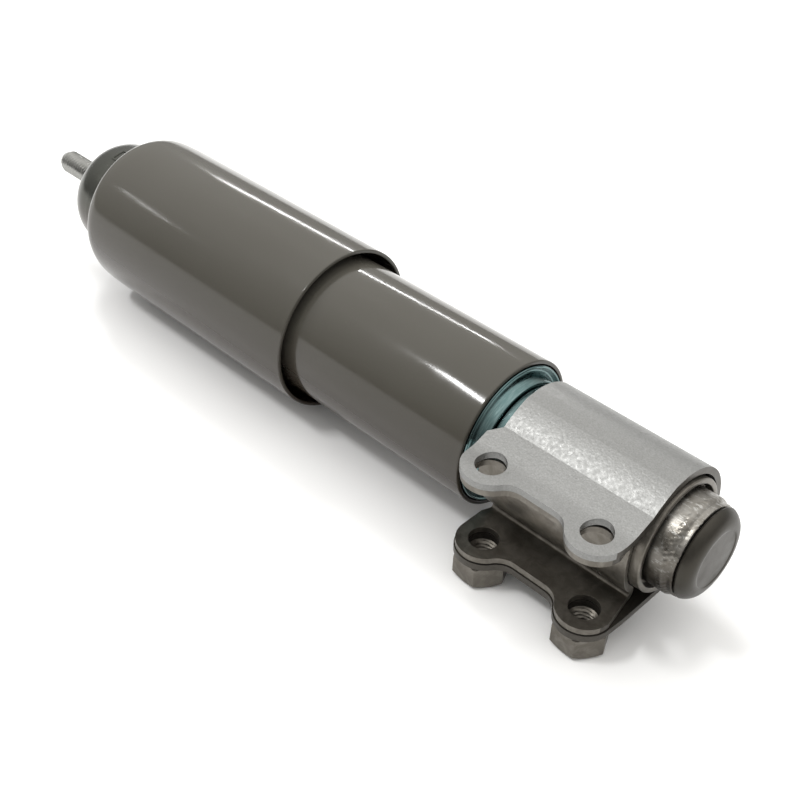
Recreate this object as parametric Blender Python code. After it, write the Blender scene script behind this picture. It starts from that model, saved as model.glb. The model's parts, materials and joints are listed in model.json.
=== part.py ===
"""Scooter front shock absorber: a spring and damper strut under telescoping covers.

Frame: origin at the centre of the top stud's end face, +X along the strut towards the
clamp bracket, +Z up. The strut lies on its side, with the bracket's two ears on -Y.
Lengths below are in millimetres and become metres in the mesh.
"""
import math

import bmesh
import bpy

MM = 0.001
GAP = 0.3                     # clearance between neighbouring pieces
STROKE = 50.0                 # travel of the rod and cover towards +X

# Stations along the strut
DOME_FACE = 25.0              # flat face round the stud, where the upper mount seats
ROD_SHOULDER = 29.2
COVER_MOUTH = 46.3            # back edge of the outer cover, where the dome comes out
SEAT_FLANGE = 53.0            # flange inside the cover that the spring pushes against
COVER_STRAIGHT = 60.0         # where the cover's rounded shoulder meets its tube
DAMPER_TOP = 108.0
SLEEVE_TOP = 114.0
ROD_STEP = 142.0              # the rod steps down here to carry the piston
ROD_END = 158.0
COVER_RIM = 144.6
SPRING_SEAT = 204.6
SLEEVE_RIM = 212.0
COLLAR_START = 215.7
VALVE_START = 249.2
COLLAR_END = 267.3
TUBE_END = 274.6
STRUT_END = 278.6

# Radii
STUD_R = 4.0
ROD_R = 5.0
COVER_R = 26.0
COVER_WALL = 1.2
DOME_WALL = 1.6
SEAT_R = 22.4                 # outside of the flange and pad above the spring
SLEEVE_R = 22.4
SLEEVE_WALL = 1.2
TUBE_R = 14.0
TUBE_BORE = 12.8
CRIMP_R = 13.3                # tube end pressed in over the cap
CAP_ROUND = 4.5
ROD_BORE = 5.25               # seals and bush round the rod
SEAL_R = TUBE_BORE - 0.4
STEP_R = 3.5
STEP_BORE = 3.8
PRESSURE_R = 9.6
PRESSURE_BORE = 8.8
SPRING_R = 17.6               # mean coil radius
WIRE_R = 2.1
SPRING_TURNS = 9
COLLAR_R = 16.7
COLLAR_BORE = TUBE_R + GAP

# Clamp bracket: an outer strap round the collar and a channel inside its ears
STRAP_T = 2.0
STRAP_R = 19.5
CHANNEL_T = 1.8
EAR_TOP = 11.0                # upper face of the upper ear
EAR_BOTTOM = -STRAP_R         # lower face of the lower ear, tangent to the wrap
NUT_FOOT = -27.2              # lower faces of the weld nuts
EAR_LEFT = 216.0
EAR_RIGHT = 266.0
HOLE_Y = -23.6
HOLE_X = (224.0, 258.0)
HOLE_R = 4.25
LOBE_R = 8.0
WAIST_Y = -25.2               # edge of the ears between the two lobes
WAIST_FILLET = 6.0
EAR_REACH = -33.0
NUT_FLATS = 14.0
NUT_TURN = -5.0              # degrees, a corner of each hexagon from +X
NUT_BORE = 3.4

BIG = 36                      # sides of the large round pieces
SMALL = 24                    # sides of the inner round pieces


def clear_scene():
    for item in list(bpy.data.objects):
        bpy.data.objects.remove(item, do_unlink=True)


def material(name, colour, metallic, roughness):
    mat = bpy.data.materials.new(name)
    mat.use_nodes = True
    shader = mat.node_tree.nodes["Principled BSDF"]
    shader.inputs["Base Color"].default_value = (*colour, 1.0)
    shader.inputs["Metallic"].default_value = metallic
    shader.inputs["Roughness"].default_value = roughness
    return mat


def empty(name, parent=None):
    """An empty on the strut's axis, which every joint shares."""
    item = bpy.data.objects.new(name, None)
    bpy.context.collection.objects.link(item)
    item.parent = parent
    return item


def add_object(name, bm, mat, parent, smooth=True):
    bmesh.ops.recalc_face_normals(bm, faces=bm.faces)
    mesh = bpy.data.meshes.new(name)
    bm.to_mesh(mesh)
    bm.free()
    if smooth:
        mesh.shade_smooth()
        mesh.set_sharp_from_angle(angle=math.radians(35))
    item = bpy.data.objects.new(name, mesh)
    bpy.context.collection.objects.link(item)
    item.data.materials.append(mat)
    item.parent = parent
    return item


def turned(name, outline, mat, parent, sides=SMALL):
    """Solid of revolution about X from a closed outline of (x, radius) points."""
    bm = bmesh.new()
    rings = []
    for x, radius in outline:
        if radius == 0:
            rings.append([bm.verts.new((x * MM, 0, 0))])
            continue
        angles = (2 * math.pi * i / sides for i in range(sides))
        rings.append([bm.verts.new((x * MM, radius * math.cos(a) * MM, radius * math.sin(a) * MM))
                      for a in angles])
    for loop, following in zip(rings, rings[1:] + rings[:1]):
        if len(loop) == 1 and len(following) == 1:
            continue
        for i in range(sides):
            j = (i + 1) % sides
            corners = [loop[i % len(loop)], loop[j % len(loop)],
                       following[j % len(following)], following[i % len(following)]]
            bm.faces.new(list(dict.fromkeys(corners)))
    return add_object(name, bm, mat, parent)


def ring(name, x0, x1, inner, outer, mat, parent, sides=SMALL):
    return turned(name, [(x0, inner), (x0, outer), (x1, outer), (x1, inner)], mat, parent, sides)


def quarter(x_centre, r_centre, size, start, end, steps):
    """Arc of (x, radius) points; angles in degrees from +X towards larger radius."""
    angles = [math.radians(start + (end - start) * i / steps) for i in range(steps + 1)]
    return [(x_centre + size * math.cos(a), r_centre + size * math.sin(a)) for a in angles]


def prism(name, outline, low, high, axis, mat, parent, smooth=True):
    """Closed (u, v) outline swept along X (outline in YZ) or along Z (outline in XY)."""
    bm = bmesh.new()
    layers = []
    for level in (low, high):
        if axis == "X":
            layers.append([bm.verts.new((level * MM, u * MM, v * MM)) for u, v in outline])
        else:
            layers.append([bm.verts.new((u * MM, v * MM, level * MM)) for u, v in outline])
    count = len(outline)
    for i in range(count):
        j = (i + 1) % count
        bm.faces.new([layers[0][i], layers[0][j], layers[1][j], layers[1][i]])
    bm.faces.new(layers[0])
    bm.faces.new(layers[1][::-1])
    return add_object(name, bm, mat, parent, smooth)


def circle(x, y, radius, sides):
    return [(x + radius * math.cos(2 * math.pi * i / sides),
             y + radius * math.sin(2 * math.pi * i / sides)) for i in range(sides)]


def cut(target, cutter):
    cutter.hide_render = True
    cutter.display_type = "WIRE"
    boolean = target.modifiers.new("cut_" + cutter.name, "BOOLEAN")
    boolean.operation = "DIFFERENCE"
    boolean.solver = "EXACT"
    boolean.object = cutter


def arc(cy, cz, radius, start, end, steps):
    """Points on an arc with the unit vector from its centre; degrees from +Y towards +Z."""
    points = []
    for i in range(steps + 1):
        a = math.radians(start + (end - start) * i / steps)
        u = (math.cos(a), math.sin(a))
        points.append(((cy + radius * u[0], cz + radius * u[1]), u))
    return points


def sheet(points):
    """Closed outline of a bent sheet from (face point, offset to the other face) pairs."""
    face = [p for p, _ in points]
    other = [(p[0] + o[0], p[1] + o[1]) for p, o in points]
    return face + other[::-1]


def strap_line():
    """Outer line of the strap: ear, gentle rise, crease, bowed slope, crease, then round the back."""
    foot, crest = (-12.8, EAR_TOP + 3.3), (-4.4, 19.0)
    chord = (crest[0] - foot[0], crest[1] - foot[1])
    points = [(EAR_REACH, EAR_TOP), (-22.9, EAR_TOP), (-21.4, EAR_TOP + 0.14), (-19.9, EAR_TOP + 0.58), foot]
    for i in (1, 2, 3):
        t = i / 4
        bow = 0.14 * t * (1 - t)
        points.append((foot[0] + chord[0] * t - chord[1] * bow, foot[1] + chord[1] * t + chord[0] * bow))
    points.append(crest)
    points += [q for q, _ in arc(0, 0, STRAP_R, 90, -90, 18)]
    return points + [(EAR_REACH, EAR_BOTTOM)]


def strap_section():
    """Outer strap as a sheet of even thickness, its corners mitred on the inside."""
    line = strap_line()
    legs = [(b[0] - a[0], b[1] - a[1]) for a, b in zip(line, line[1:])]
    inward = [(v / math.hypot(u, v), -u / math.hypot(u, v)) for u, v in legs]
    points = []
    for i, point in enumerate(line):
        a, b = inward[max(0, i - 1)], inward[min(i, len(inward) - 1)]
        deep = STRAP_T / (1 + a[0] * b[0] + a[1] * b[1])
        points.append((point, ((a[0] + b[0]) * deep, (a[1] + b[1]) * deep)))
    return sheet(points)


def channel_section():
    """Channel: upper flange under the upper ear, a web round the collar, lower flange."""
    face_r = COLLAR_R + GAP + CHANNEL_T
    top_face = EAR_TOP - STRAP_T - GAP - CHANNEL_T
    low_face = EAR_BOTTOM + STRAP_T + GAP + CHANNEL_T
    upper_bend, lower_bend = 1.5, 1.0
    upper_z, lower_z = top_face - upper_bend, low_face + lower_bend
    upper_y = -math.sqrt((face_r + upper_bend) ** 2 - upper_z ** 2)
    lower_y = -math.sqrt((face_r + lower_bend) ** 2 - lower_z ** 2)
    to_upper = math.degrees(math.atan2(upper_z, -upper_y))
    to_lower = math.degrees(math.atan2(lower_z, -lower_y))
    upper = arc(upper_y, upper_z, upper_bend, 90, -to_upper, 5)
    web = arc(0, 0, face_r, 180 - to_upper, 180 - to_lower, 10)[1:-1]
    lower = arc(lower_y, lower_z, lower_bend, -to_lower, -90, 5)
    points = [((EAR_REACH, top_face), (0.0, CHANNEL_T))]
    points += [(p, (u[0] * CHANNEL_T, u[1] * CHANNEL_T)) for p, u in upper]
    points += [(p, (-u[0] * CHANNEL_T, -u[1] * CHANNEL_T)) for p, u in web]
    points += [(p, (u[0] * CHANNEL_T, u[1] * CHANNEL_T)) for p, u in lower]
    points.append(((EAR_REACH, low_face), (0.0, -CHANNEL_T)))
    return sheet(points)


def ear_trim(name, inset, left_top, right_top, parent):
    """Cutter round the outside of the ears' outline, seen along Z: two lobes and a waist."""
    left, right = EAR_LEFT + inset, EAR_RIGHT - inset
    lobe, fillet = LOBE_R - inset, WAIST_FILLET + inset
    fillet_y = WAIST_Y + inset - fillet
    rise = HOLE_Y - fillet_y
    run = math.sqrt((lobe + fillet) ** 2 - rise ** 2)
    lean = math.degrees(math.atan2(rise, run))
    outline = [left_top, (left, left_top[1] - 3), (left, HOLE_Y)]
    for points in (arc(HOLE_X[0], HOLE_Y, lobe, 180, 360 - lean, 9)[1:],
                   arc(HOLE_X[0] + run, fillet_y, fillet, 180 - lean, 90, 5)[1:],
                   arc(HOLE_X[1] - run, fillet_y, fillet, 90, lean, 5),
                   arc(HOLE_X[1], HOLE_Y, lobe, 180 + lean, 360, 9)[1:]):
        outline += [p for p, _ in points]
    outline += [right_top, (right_top[0], 40), (right + 30, 40), (right + 30, -60), (left - 30, -60), (left - 30, 40),
                (left_top[0], 40)]
    return prism(name, outline, -40, 40, "Z", STEEL, parent, smooth=False)


def build_rod_group(parent):
    """Everything that slides and turns with the rod: stud, dome, cover and piston."""
    turned("piston_rod", [(0, 0), (0, 3.2), (0.8, STUD_R), (ROD_SHOULDER, STUD_R), (ROD_SHOULDER, ROD_R),
                          (ROD_STEP, ROD_R), (ROD_STEP, STEP_R), (ROD_END, STEP_R), (ROD_END, 0)],
           CHROME, parent)

    def dome(points):
        return [(DOME_FACE + x, r) for x, r in points]
    outer = dome([(0, 4.3), (0, 7.0), (0.6, 10.0), (2.2, 13.6), (5.0, 16.5), (9.0, 18.3), (14.5, 19.1)])
    inner = dome([(14.5, 17.5), (9.8, 16.7), (6.2, 15.2), (3.6, 12.6), (2.1, 9.4), (1.6, 6.7),
                  (1.6, 4.3)])
    turned("top_dome", outer + [(SEAT_FLANGE - 1.5, 19.3), (SEAT_FLANGE, SEAT_R),
                                (SEAT_FLANGE + DOME_WALL, SEAT_R), (SEAT_FLANGE + DOME_WALL, 18.4),
                                (SEAT_FLANGE - 0.3, 17.7)] + inner, ZINC, parent, BIG)
    ring("seat_washer", DOME_FACE + 1.9, DOME_FACE + 3.9, 4.3, 6.4, STEEL, parent)
    stop = ROD_SHOULDER + 0.4
    turned("bump_stop", [(stop, 5.3), (stop, 8.0), (stop + 6.4, 9.6), (stop + 20.4, 9.6),
                         (stop + 24.9, 7.0), (stop + 24.9, 5.3)], RUBBER, parent)

    back = [(COVER_MOUTH, 19.7), (COVER_MOUTH + 0.2, 22.6), (COVER_MOUTH + 1.3, 24.4),
            (COVER_MOUTH + 3.7, 25.4), (COVER_MOUTH + 7.2, 25.8), (COVER_STRAIGHT, COVER_R)]
    front = [(COVER_RIM - 0.5, COVER_R), (COVER_RIM, COVER_R - 0.5), (COVER_RIM, COVER_R - COVER_WALL)]
    inside = [(COVER_STRAIGHT, COVER_R - COVER_WALL), (COVER_MOUTH + 7.0, 24.6),
              (COVER_MOUTH + 4.2, 24.2), (COVER_MOUTH + 2.4, 23.2), (COVER_MOUTH + 1.5, 21.6),
              (COVER_MOUTH + 1.4, 19.7)]
    turned("outer_cover", back + front + inside, PAINT, parent, BIG)

    ring("rebound_stop", ROD_STEP - 13, ROD_STEP - 9, 5.3, 8.2, RUBBER, parent)
    ring("rebound_washer", ROD_STEP + 0.3, ROD_STEP + 1.3, STEP_BORE, 7.6, STEEL, parent)
    top = ROD_STEP + 1.6
    turned("piston", [(top, STEP_BORE), (top, 8.2), (top + 2.4, 8.2), (top + 2.4, 7.5), (top + 5.4, 7.5),
                      (top + 5.4, 8.2), (top + 8, 8.2), (top + 8, STEP_BORE)], ALUMINIUM, parent)
    ring("piston_band", top + 2.7, top + 5.1, 7.8, 8.5, PLASTIC, parent)
    ring("compression_washer", top + 8.3, top + 9.1, STEP_BORE, 7.6, STEEL, parent)
    nut = prism("piston_nut", circle(0, 0, 6.3, 6), top + 9.4, top + 13.4, "X", STEEL, parent,
                smooth=False)
    cut(nut, prism("piston_nut_bore", circle(0, 0, STEP_BORE + 0.1, SMALL), top, top + 20, "X", STEEL,
                   parent))


def build_spring_seat(parent):
    """Pieces that travel with the rod but stay with the spring when the rod turns."""
    flange = SEAT_FLANGE + DOME_WALL
    ring("top_pad", flange + GAP, flange + 2.6, 14.5, SEAT_R - 0.2, RUBBER, parent)
    ring("upper_spring_washer", flange + 2.9, flange + 4.4, 14.5, SEAT_R - 0.6, STEEL, parent)


def build_spring(parent):
    """Compression spring with a closed coil at each end."""
    start, end = SEAT_FLANGE + 6.3 + WIRE_R, SPRING_SEAT - 2.6 - WIRE_R
    closed = 0.75
    pitch_closed = 2 * WIRE_R + 0.5
    body_turns = SPRING_TURNS - 2 * closed
    body = end - start - 2 * closed * pitch_closed
    steps, sides = 14, 6
    bm = bmesh.new()
    loops = []
    count = SPRING_TURNS * steps
    for i in range(count + 1):
        turn = i / steps
        if turn < closed:
            x = start + turn * pitch_closed
        elif turn > SPRING_TURNS - closed:
            x = end - (SPRING_TURNS - turn) * pitch_closed
        else:
            x = start + closed * pitch_closed + (turn - closed) * body / body_turns
        a = 2 * math.pi * turn
        loop = []
        for k in range(sides):
            b = 2 * math.pi * k / sides
            radius = SPRING_R + WIRE_R * math.cos(b)
            loop.append(bm.verts.new(((x + WIRE_R * math.sin(b)) * MM, radius * math.cos(a) * MM,
                                      radius * math.sin(a) * MM)))
        loops.append(loop)
    for loop, following in zip(loops, loops[1:]):
        for k in range(sides):
            m = (k + 1) % sides
            bm.faces.new([loop[k], loop[m], following[m], following[k]])
    bm.faces.new(loops[0][::-1])
    bm.faces.new(loops[-1])
    return add_object("coil_spring", bm, SPRING_STEEL, parent)


def build_damper(parent):
    """Twin-tube damper: seals at the top, base valve and rounded cap at the bracket end."""
    neck = TUBE_END - 1.6
    turned("reservoir_tube", [(DAMPER_TOP, TUBE_BORE), (DAMPER_TOP, TUBE_R), (neck - 1.2, TUBE_R),
                              (neck, CRIMP_R), (TUBE_END, CRIMP_R), (TUBE_END, CRIMP_R - 1.2),
                              (neck, CRIMP_R - 1.2), (neck - 1.2, TUBE_BORE)], TUBE_STEEL, parent, BIG)
    guide = DAMPER_TOP + 9.9
    valve = VALVE_START + 2.8
    ring("seal_retainer", DAMPER_TOP + 0.3, DAMPER_TOP + 2.3, 5.4, SEAL_R, STEEL, parent)
    ring("wiper_seal", DAMPER_TOP + 2.6, DAMPER_TOP + 5.4, ROD_BORE, SEAL_R, RUBBER, parent)
    ring("rod_seal", DAMPER_TOP + 5.7, DAMPER_TOP + 9.6, ROD_BORE, SEAL_R, RUBBER, parent)
    ring("rod_guide", guide, guide + 10, 6.5, SEAL_R, ALUMINIUM, parent)
    ring("guide_bush", guide + 0.3, guide + 9.7, ROD_BORE, 6.2, BRONZE, parent)
    ring("pressure_tube", guide + 10.3, valve + 6, PRESSURE_BORE, PRESSURE_R, STEEL, parent)
    turned("base_valve", [(valve, 2.2), (valve, 8.5), (valve + 6.3, 8.5), (valve + 6.3, SEAL_R),
                          (valve + 10.5, SEAL_R), (valve + 10.5, 2.2)], ALUMINIUM, parent)
    ring("base_valve_disc", valve - 1.3, valve - 0.3, 2.2, 7.6, STEEL, parent)
    turned("base_valve_rivet", [(VALVE_START, 0), (VALVE_START, 3.4), (valve - 1.6, 3.4),
                                (valve - 1.6, 1.9), (valve + 10.8, 1.9), (valve + 10.8, 3.4),
                                (valve + 12.2, 3.4), (valve + 12.2, 0)], STEEL, parent)
    turned("end_cap", [(TUBE_END + GAP, 11.4), (TUBE_END + GAP, CRIMP_R - 0.4)]
           + quarter(STRUT_END - CAP_ROUND, CRIMP_R - CAP_ROUND, CAP_ROUND, 75, 0, 5)
           + [(STRUT_END, 0), (STRUT_END - 1.6, 0), (STRUT_END - 1.6, 8.8)],
           TUBE_STEEL, parent, BIG)


def build_sleeve(parent):
    """Painted lower sleeve with its guide ring, and the zinc seat that closes its end."""
    ring("lower_sleeve", SLEEVE_TOP, SLEEVE_RIM, SLEEVE_R - SLEEVE_WALL, SLEEVE_R, PAINT, parent, BIG)
    ring("sleeve_guide_ring", SLEEVE_TOP + 1, SLEEVE_TOP + 6, SLEEVE_R + GAP, 24.4, PLASTIC, parent, BIG)
    ring("lower_spring_pad", SPRING_SEAT - 2.3, SPRING_SEAT - GAP, 14.6, 20.6, RUBBER, parent)
    bore = COLLAR_BORE + 0.1
    turned("lower_spring_seat", [(SPRING_SEAT, bore), (SPRING_SEAT, 20.8), (SLEEVE_RIM + 0.3, 20.8),
                                 (SLEEVE_RIM + 0.3, 20.1), (SLEEVE_RIM - 0.8, 19.5),
                                 (SLEEVE_RIM - 0.9, 18.9), (SLEEVE_RIM - 0.3, 18.4),
                                 (SLEEVE_RIM + 1.0, 18.0), (SLEEVE_RIM + 3.1, 17.7),
                                 (SLEEVE_RIM + 3.4, 17.4),
                                 (SLEEVE_RIM + 3.4, bore)], ZINC, parent, BIG)


def build_bracket(parent):
    """Collar on the damper, the strap and channel welded round it, and two weld nuts."""
    turned("mount_collar", [(COLLAR_START, COLLAR_BORE), (COLLAR_START, COLLAR_R), (COLLAR_END, COLLAR_R),
                            (COLLAR_END, 15.1), (COLLAR_END - 2.8, 15.1),
                            (COLLAR_END - 2.8, COLLAR_BORE)],
           TUBE_STEEL, parent, BIG)
    strap = prism("clamp_strap", strap_section(), EAR_LEFT, EAR_RIGHT + 0.3, "X", BRACKET, parent)
    channel = prism("inner_channel", channel_section(), EAR_LEFT, EAR_RIGHT, "X", DARK_STEEL, parent)
    cut(strap, ear_trim("strap_trim", 0.0, (EAR_LEFT + 2.9, -13.2), (EAR_RIGHT + 0.5, -15), parent))
    cut(channel, ear_trim("channel_trim", 0.3, (EAR_LEFT + 1.4, -13), (EAR_RIGHT - 2.4, -13), parent))
    for i, x in enumerate(HOLE_X):
        hole = prism("ear_hole_%d" % (i + 1), circle(x, HOLE_Y, HOLE_R, SMALL), -40, 40, "Z", STEEL,
                     parent)
        cut(strap, hole)
        cut(channel, hole)
        turn = math.radians(NUT_TURN)
        corner = NUT_FLATS / 2 / math.cos(math.pi / 6)
        hexagon = [(x + corner * math.cos(turn + k * math.pi / 3),
                    HOLE_Y + corner * math.sin(turn + k * math.pi / 3)) for k in range(6)]
        nut = prism("weld_nut_%d" % (i + 1), hexagon, NUT_FOOT, EAR_BOTTOM - GAP, "Z", DARK_STEEL,
                    parent, smooth=False)
        cut(nut, prism("nut_bore_%d" % (i + 1), circle(x, HOLE_Y, NUT_BORE, SMALL), -40, 0, "Z", STEEL,
                       parent))


clear_scene()
PAINT = material("taupe_paint", (0.13, 0.12, 0.105), 0.0, 0.25)
BRACKET = material("light_zinc_flake", (0.42, 0.42, 0.40), 0.6, 0.5)
DARK_STEEL = material("dark_steel", (0.07, 0.065, 0.058), 0.8, 0.4)
ZINC = material("bright_zinc", (0.35, 0.42, 0.42), 1.0, 0.2)
TUBE_STEEL = material("bare_steel", (0.25, 0.235, 0.21), 0.9, 0.4)
STEEL = material("steel", (0.45, 0.45, 0.45), 1.0, 0.35)
CHROME = material("hard_chrome", (0.6, 0.6, 0.6), 1.0, 0.12)
SPRING_STEEL = material("spring_steel", (0.03, 0.03, 0.03), 0.2, 0.45)
ALUMINIUM = material("sintered_alloy", (0.5, 0.5, 0.5), 0.9, 0.5)
BRONZE = material("bronze", (0.5, 0.35, 0.15), 1.0, 0.4)
RUBBER = material("black_rubber", (0.02, 0.02, 0.02), 0.0, 0.7)
PLASTIC = material("guide_plastic", (0.05, 0.05, 0.05), 0.0, 0.5)

strut = empty("strut")
slide = empty("rod_slide", strut)
turning = empty("rod_turn", slide)
build_damper(strut)
build_sleeve(strut)
build_bracket(strut)
build_spring(strut)
build_spring_seat(slide)
build_rod_group(turning)
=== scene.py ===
"""Telescopic strut on a pale floor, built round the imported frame.

Lengths in this file are millimetres in the row frame unless a name says otherwise.
"""
import json
import math

import bmesh
import bpy
from mathutils import Matrix, Vector


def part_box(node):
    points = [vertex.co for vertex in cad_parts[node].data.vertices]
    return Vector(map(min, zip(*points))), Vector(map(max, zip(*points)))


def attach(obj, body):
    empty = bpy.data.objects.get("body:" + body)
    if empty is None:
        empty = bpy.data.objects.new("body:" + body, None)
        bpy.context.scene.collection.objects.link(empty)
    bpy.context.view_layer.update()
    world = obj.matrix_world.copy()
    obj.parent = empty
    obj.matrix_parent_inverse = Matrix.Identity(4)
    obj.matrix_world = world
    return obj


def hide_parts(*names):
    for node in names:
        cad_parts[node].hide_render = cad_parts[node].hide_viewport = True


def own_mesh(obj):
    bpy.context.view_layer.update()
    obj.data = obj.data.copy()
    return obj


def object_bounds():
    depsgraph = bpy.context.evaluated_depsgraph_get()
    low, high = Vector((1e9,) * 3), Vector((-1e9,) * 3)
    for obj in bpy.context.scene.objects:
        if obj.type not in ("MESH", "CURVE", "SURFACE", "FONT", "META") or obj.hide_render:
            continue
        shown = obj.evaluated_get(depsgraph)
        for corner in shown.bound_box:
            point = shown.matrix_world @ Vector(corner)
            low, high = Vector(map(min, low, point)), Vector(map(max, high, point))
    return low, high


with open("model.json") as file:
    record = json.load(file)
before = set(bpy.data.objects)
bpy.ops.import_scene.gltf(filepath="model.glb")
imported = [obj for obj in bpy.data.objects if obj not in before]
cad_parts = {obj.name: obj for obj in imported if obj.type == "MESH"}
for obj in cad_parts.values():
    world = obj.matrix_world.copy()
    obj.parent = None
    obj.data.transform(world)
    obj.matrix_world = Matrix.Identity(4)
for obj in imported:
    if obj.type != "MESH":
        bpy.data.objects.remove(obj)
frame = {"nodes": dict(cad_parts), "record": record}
cad_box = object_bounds()

MM = 0.001
STRUT, ROD = "strut_body", "rod_and_cover"


def span(node):
    """First and last x of a node, and its largest radius, in millimetres."""
    low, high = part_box(node)
    return low[0] / MM, high[0] / MM, high[2] / MM


COVER_X0, COVER_X1, COVER_R = span("outer_cover")
DOME_X0, DOME_X1, FLANGE_R = span("top_dome")
STUD_X0, ROD_X1, ROD_R = span("piston_rod")
SLEEVE_X0, SLEEVE_X1, SLEEVE_R = span("lower_sleeve")
SEAT_X0, SEAT_X1, SEAT_R = span("lower_spring_seat")
COLLAR_X0, COLLAR_X1, COLLAR_R = span("mount_collar")
TUBE_X0, TUBE_X1, TUBE_R = span("reservoir_tube")
CAP_X0, CAP_X1, _ = span("end_cap")
TUBE_END_R = 13.3             # tube pressed in over the cap
SPRING_X0, SPRING_X1, SPRING_OUT = span("coil_spring")
STRAP_LOW, STRAP_HIGH = ([v / MM for v in corner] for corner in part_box("clamp_strap"))
CHANNEL_LOW, CHANNEL_HIGH = ([v / MM for v in corner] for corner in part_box("inner_channel"))
NUTS = []
for node in ("weld_nut_1", "weld_nut_2"):
    low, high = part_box(node)
    NUTS.append(((low[0] + high[0]) / 2 / MM, (low[1] + high[1]) / 2 / MM, low[2] / MM, high[2] / MM))

WALL = 1.2                    # covers and sleeve
STUD_R, THREAD_PITCH, THREAD_DEPTH = 4.0, 1.25, 0.62
STRAP_T, CHANNEL_T, GAP = 2.0, 1.8, 0.3
EAR_TOP = 11.0
HOLE_R, LOBE_R = 4.25, 8.0
WAIST_FILLET, WAIST_DROP = 6.0, 1.6
NUT_FLATS = 14.0


# ---------------------------------------------------------------- materials

class Nodes:
    """Short names for the shader nodes the materials share."""

    def __init__(self, name):
        self.mat = bpy.data.materials.new(name)
        self.mat.use_nodes = True
        self.tree = self.mat.node_tree
        self.bsdf = self.tree.nodes["Principled BSDF"]
        self.coords = self.tree.nodes.new("ShaderNodeTexCoord").outputs["Object"]

    def put(self, socket, value):
        if isinstance(value, bpy.types.NodeSocket):
            self.tree.links.new(value, socket)
        else:
            socket.default_value = value

    def math(self, operation, a, b=0.0):
        node = self.tree.nodes.new("ShaderNodeMath")
        node.operation = operation
        self.put(node.inputs[0], a)
        self.put(node.inputs[1], b)
        return node.outputs[0]

    def turned(self):
        """(x, radius, small angle) about the strut's axis, for marks left by turning."""
        split = self.tree.nodes.new("ShaderNodeSeparateXYZ")
        self.put(split.inputs[0], self.coords)
        square = self.math("ADD", self.math("POWER", split.outputs[1], 2.0), self.math("POWER", split.outputs[2], 2.0))
        angle = self.math("ARCTAN2", split.outputs[2], split.outputs[1])
        join = self.tree.nodes.new("ShaderNodeCombineXYZ")
        self.put(join.inputs[0], split.outputs[0])
        self.put(join.inputs[1], self.math("SQRT", square))
        self.put(join.inputs[2], self.math("MULTIPLY", angle, 0.0015))
        return join.outputs[0]

    def height(self):
        """Height above the strut's axis, in metres."""
        split = self.tree.nodes.new("ShaderNodeSeparateXYZ")
        self.put(split.inputs[0], self.coords)
        return split.outputs[2]

    def stretched(self, scale):
        node = self.tree.nodes.new("ShaderNodeMapping")
        self.put(node.inputs["Vector"], self.coords)
        node.inputs["Scale"].default_value = scale
        return node.outputs[0]

    def noise(self, size, detail=3.0, rough=0.55, vector=None, distortion=0.0):
        """Noise whose features are about size millimetres across."""
        node = self.tree.nodes.new("ShaderNodeTexNoise")
        self.put(node.inputs["Vector"], vector or self.coords)
        node.inputs["Scale"].default_value = 1.0 / (size * MM)
        node.inputs["Detail"].default_value = detail
        node.inputs["Roughness"].default_value = rough
        node.inputs["Distortion"].default_value = distortion
        return node.outputs["Fac"]

    def cells(self, size):
        """Distance to the nearest cell centre, for cells about size millimetres across."""
        node = self.tree.nodes.new("ShaderNodeTexVoronoi")
        self.put(node.inputs["Vector"], self.coords)
        node.inputs["Scale"].default_value = 1.0 / (size * MM)
        return node.outputs["Distance"]

    def levels(self, value, low, high, to_low=0.0, to_high=1.0):
        node = self.tree.nodes.new("ShaderNodeMapRange")
        self.put(node.inputs["Value"], value)
        for name, number in (("From Min", low), ("From Max", high), ("To Min", to_low), ("To Max", to_high)):
            node.inputs[name].default_value = number
        return node.outputs[0]

    def mix(self, factor, a, b):
        node = self.tree.nodes.new("ShaderNodeMix")
        node.data_type = "RGBA"
        self.put(node.inputs["Factor"], factor)
        for socket, value in ((node.inputs[6], a), (node.inputs[7], b)):
            self.put(socket, (*value, 1.0) if isinstance(value, tuple) else value)
        return node.outputs[2]

    def bump(self, height, depth, strength=1.0, under=None):
        """Bump with the height's 0-1 range standing for depth millimetres."""
        node = self.tree.nodes.new("ShaderNodeBump")
        node.inputs["Strength"].default_value = strength
        node.inputs["Distance"].default_value = depth * MM
        self.put(node.inputs["Height"], height)
        if under is not None:
            self.put(node.inputs["Normal"], under)
        return node.outputs[0]

    def finish(self, colour, metallic, roughness, normal=None, coat=0.0, coat_rough=0.1, specular=0.5):
        self.put(self.bsdf.inputs["Base Color"], colour)
        self.put(self.bsdf.inputs["Metallic"], metallic)
        self.put(self.bsdf.inputs["Roughness"], roughness)
        self.bsdf.inputs["Coat Weight"].default_value = coat
        self.bsdf.inputs["Coat Roughness"].default_value = coat_rough
        self.bsdf.inputs["Specular IOR Level"].default_value = specular
        if normal is not None:
            self.put(self.bsdf.inputs["Normal"], normal)
        return self.mat


def gloss_paint():
    n = Nodes("gloss_taupe_paint")
    cloud = n.noise(45, 2.0)
    fine = n.noise(1.1, 2.0)
    dust = n.levels(n.noise(0.5, 1.0, vector=n.stretched((1, 1.1, 0.9))), 0.66, 0.78)
    colour = n.mix(cloud, (0.058, 0.054, 0.044), (0.070, 0.066, 0.056))
    # Painted shade and reflection: the paint turns darker and browner below the strut's axis.
    colour = n.mix(n.levels(n.height(), 0.012, -0.014), colour, (0.032, 0.024, 0.018))
    colour = n.mix(n.math("MULTIPLY", dust, 0.06), colour, (0.16, 0.15, 0.13))
    rough = n.levels(n.noise(9, 4.0), 0.3, 0.7, 0.10, 0.16)
    normal = n.bump(fine, 0.02, 0.3)
    normal = n.bump(n.noise(14, 1.0), 0.05, 0.2, under=normal)
    return n.finish(colour, 0.0, rough, normal, coat=0.04, coat_rough=0.03, specular=0.30)


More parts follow.
